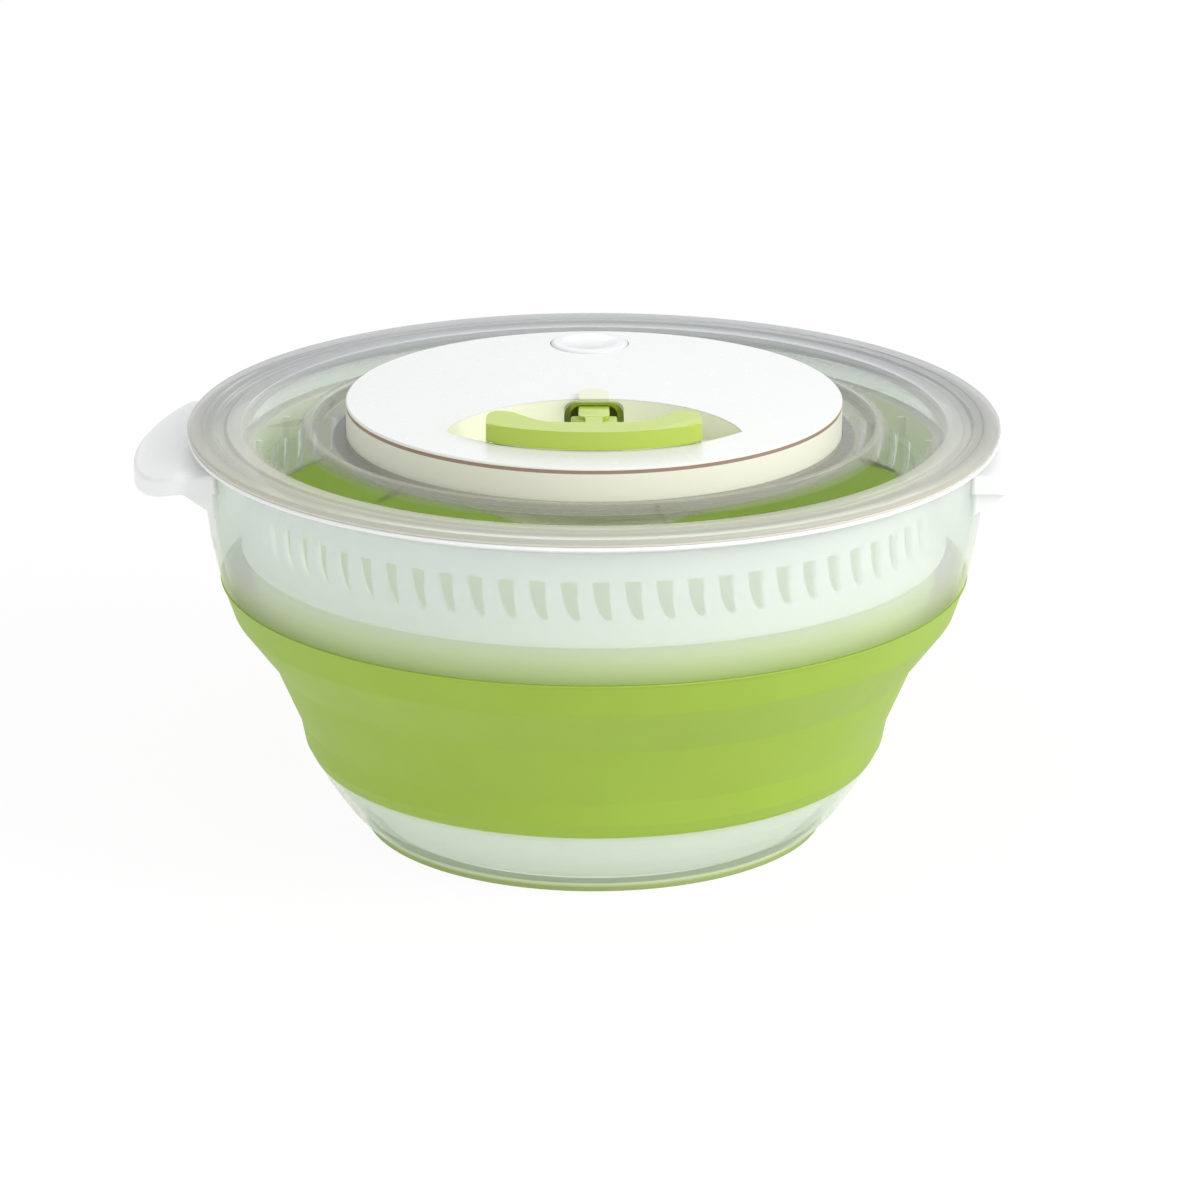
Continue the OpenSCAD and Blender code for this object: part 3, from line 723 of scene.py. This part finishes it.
def make_basket_wall():
    outer = [
        (87.5, BASE_TOP, 0), (89.8, 29.4, 3), (91.5, 38, 5), (99.6, 57, 6), (107.4, 70.6, 6),
        (110, 82, 3), (110.1, 101, 0.4)
    ]
    outline = divided(fillet(shell(outer, 1.6), 0), 1.5)
    wall = lathe("basket_folding_wall", outline, "basket_upper", "basket_green", ["basket_bellows"])
    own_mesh(wall)


# ---- lid ----

def make_lid():
    outline = fillet([
        (79.6, 130.2, 0.2), (88, 130.2, 1.2), (90.4, 133.2, 0.7), (92.8, 133.2, 0.7), (95.2, 130.6, 1.5),
        (107, 130, 3), (110.5, 131, 2), (113, 132.9, 1), (117.4, 133.1, 0.5), (118.2, 132.3, 0.4),
        (120.6, 132.3, 0.4), (121.6, 133.1, 0.5), (124.2, 133.1, 0.3), (124.8, LID_TOP, 0.3),
        (129.4, LID_TOP, 0.4), (RIM_R, LID_TOP - 0.5, 0.4), (RIM_R, 131.9, 0.4), (125.1, 131.8, 0.8),
        (122.9, 126.8, 0.5), (121.3, 126.8, 0.5), (121, 130.6, 0.6), (118, 130.6, 0.3), (117, 131.4, 0.3),
        (113.6, 131.3, 1), (111, 129.5, 2), (107, 128.4, 3), (94.4, 128.9, 1), (92.1, 131.6, 0.4),
        (91.1, 131.6, 0.4), (88.7, 128.6, 0.8), (79.6, 128.6, 0.2)
    ], 0, steps=5)
    lathe("clear_lid_shell", outline, "lid", "clear_lid", ["lid_shell"])
    gussets, first_gusset, half_gusset = 7, -78, 0.6
    section = [(92.9, 132.9), (94.9, 130.8), (105.2, 130.2), (104.6, 130.5), (93.6, 133.1)]
    bm = bmesh.new()
    for i in range(gussets):
        angle = math.radians(first_gusset + 360 * i / gussets)
        outward = Vector((math.cos(angle), math.sin(angle), 0))
        across = Vector((-math.sin(angle), math.cos(angle), 0)) * half_gusset
        faces = []
        for sign in (1, -1):
            corners = [outward * r + across * sign + Vector((0, 0, z)) for r, z in section]
            faces.append([bm.verts.new(corner) for corner in corners])
        count = len(section)
        bm.faces.new(faces[0])
        bm.faces.new(faces[1][::-1])
        for k in range(count):
            n = (k + 1) % count
            bm.faces.new((faces[0][n], faces[0][k], faces[1][k], faces[1][n]))
    finish_piece("lid_gussets", bm, "lid", "clear_lid", ["lid_shell"])


# ---- handle, guide and cord ----

def handle_outline():
    """The crescent seen from above: a front arc, horns with rounded ends and a hollow rear edge."""
    front_y, front_r, steps = 4.6, 66.0, 32
    half = pull_high.x
    end = half - 0.8
    front = [Vector((x, front_y - math.sqrt(front_r ** 2 - x ** 2)))
             for x in [end * (2 * k / steps - 1) for k in range(steps + 1)]]
    horn = [(end, front[-1].y), (half - 0.12, -51.2), (half, -49.5), (half, -45.6), (33.3, -41.6),
            (32.4, -38.9), (31.2, -37.7), (29.4, -37.3), (27.4, -37.8), (25.3, -39), (23, -41.6),
            (20.5, -44.8), (17, -48), (13, -49.6), (6, -50.15), (0, -50.2)]
    rear = smooth_line(horn, 4)[1:]
    return front + rear + [Vector((-p.x, p.y)) for p in reversed(rear[:-1])]


def make_handle():
    """The crescent, and its tongue of a slab, a head on a neck and a lip. The three differ a little in
    height, so that no two of their faces lie in one plane."""
    bottom, top = pull_low.z, HANDLE_TOP
    bm = bmesh.new()
    prism_into(bm, handle_outline(), bottom, top, bevel=1.3, bevel_steps=5)
    finish_piece("handle_crescent", bm, "handle", "handle_green", ["pull_handle"], smooth_angle=50)
    tongue_top, lip_bottom, slab_top = 145.4, 144.0, 144.4
    bm = bmesh.new()
    slab = smooth_line([(7.2, -52), (7.2, -36.4), (6.6, -35), (5.2, -34.5)], 3)
    prism_into(bm, mirrored(slab), bottom + 0.01, slab_top, bevel=0.4)
    neck = [(2.7, -52), (2.7, -40.4), (3.2, -38.6), (4.6, -37.4), (4.85, -36), (4.85, -31)]
    head = smooth_line(neck, 4) + [Vector((4.85, -29.02))]
    prism_into(bm, mirrored(head), bottom + 0.02, tongue_top - 0.02, bevel=0.35)
    lip = [Vector((4.83, -33)), Vector((4.83, -26.6)), Vector((4.1, -25.9))]
    prism_into(bm, mirrored(lip), lip_bottom, tongue_top, bevel=0.3)
    finish_piece("handle_tongue", bm, "handle", "handle_green", ["pull_handle"], smooth_angle=50)


def mirrored(side_line):
    """A closed outline from the points of its right side, front to back."""
    return [Vector((-p[0], p[1])) for p in side_line] + [Vector(p) for p in reversed(side_line)]


def make_cord():
    """The cord from the spool, up through the eyelet and forward into the handle's tongue, and the turns
    of it that stay on the spool."""
    route = [
        (-12, -15.6, 123.6), (-8, -18.8, 123.6), (-4.5, -21.5, 123.7), (-2, -23.4, 124.5),
        (-0.5, -24.6, 126), (0, -25, 128), (0, -25, 131), (0, -25, 135), (0, -25, 138.5),
        (0, -25.4, 140.4), (0, -26.6, 141.9), (0, -28.4, 142.75), (0, -32, 142.75)
    ]
    end_y, steps = -43.5, 80
    straight = [(0, -32 + (end_y + 32) * k / steps, 142.75) for k in range(1, steps + 1)]
    bm = bmesh.new()
    tube_into(bm, route + straight, 0.9)
    cord = finish_piece("pull_cord_run", bm, None, "cord", ["pull_cord"])
    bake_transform(cord)
    layers, turns, steps = 2, 3, 48
    radius, first_r, layer_pitch = 0.88, 15.95, 1.8
    first_z, turn_pitch = 121.7, 1.45
    bm = bmesh.new()
    for layer in range(layers):
        r = first_r + layer_pitch * layer
        path = []
        for k in range(turns * steps + 1):
            a = 2 * math.pi * k / steps
            path.append((r * math.cos(a), r * math.sin(a), first_z + turn_pitch * k / steps))
        tube_into(bm, path, radius, 8)
    finish_piece("cord_turns", bm, "spool", "cord", ["cord_winding"])


def make_button():
    low, high = (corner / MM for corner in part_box("brake_button"))
    middle = (low + high) / 2
    radius = (high.x - low.x) / 2
    outline = fillet([
        (0, low.z), (radius, low.z, 0.3), (radius, high.z - 0.5, 0.5), (radius - 0.9, high.z - 0.02, 0.5),
        (radius - 3.4, high.z - 0.05, 0.8), (5, high.z - 0.5, 3), (0, high.z - 0.6)
    ], 0)
    bm = bmesh.new()
    lathe_into(bm, outline, 128)
    bmesh.ops.translate(bm, vec=(middle.x, middle.y, 0), verts=bm.verts)
    finish_piece("stop_button", bm, "brake", "button_translucent", ["brake_button"])


def make_brake_coil():
    low, high = (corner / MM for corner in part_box("brake_spring"))
    middle = (low + high) / 2
    turns, steps, wire_r, travel = 5, 28, 0.4, 2.4
    radius = (high.x - low.x) / 2 - wire_r
    bottom, top = low.z + wire_r, high.z - wire_r
    path = []
    for k in range(turns * steps + 1):
        angle = 2 * math.pi * k / steps
        path.append((middle.x + radius * math.cos(angle), middle.y + radius * math.sin(angle),
                     bottom + (top - bottom) * k / (turns * steps)))
    bm = bmesh.new()
    tube_into(bm, path, wire_r - 0.01, 10)
    coil = finish_piece("brake_coil", bm, "brake", "steel", ["brake_spring"])
    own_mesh(coil)


# ---- CAD nodes that stay as they are ----

def dress_nodes():
    slot_of = {s["node"]: s["material_slot"] for s in frame["record"]["subparts"]}
    bevelled = {"housing_cover": 0.35, "cord_guide": 0.4, "guide_tab": 0.5, "housing_base": 0.3,
                "basket_base": 0.3, "clutch_hub": 0.15, "cord_spool": 0.2, "drive_disc": 0.2}
    for name, node in frame["nodes"].items():
        mesh = node.data
        mesh.materials.clear()
        mesh.materials.append(materials[slot_of[name]])
        if "custom_normal" in mesh.attributes:
            mesh.attributes.remove(mesh.attributes["custom_normal"])
        mesh.shade_smooth()
        mesh.set_sharp_from_angle(angle=math.radians(35))
        if name in bevelled and not node.hide_render:
            bevel = node.modifiers.new("worn_edges", "BEVEL")
            bevel.width = bevelled[name] * MM
            bevel.segments = 2
            bevel.limit_method = "ANGLE"
            bevel.angle_limit = math.radians(50)


materials = make_materials()
make_camera()
make_stage()
make_bowl_base()
make_foot()
make_bowl_wall()
make_rim()
make_basket_wall()
make_lid()
make_handle()
make_cord()
make_button()
make_brake_coil()
dress_nodes()
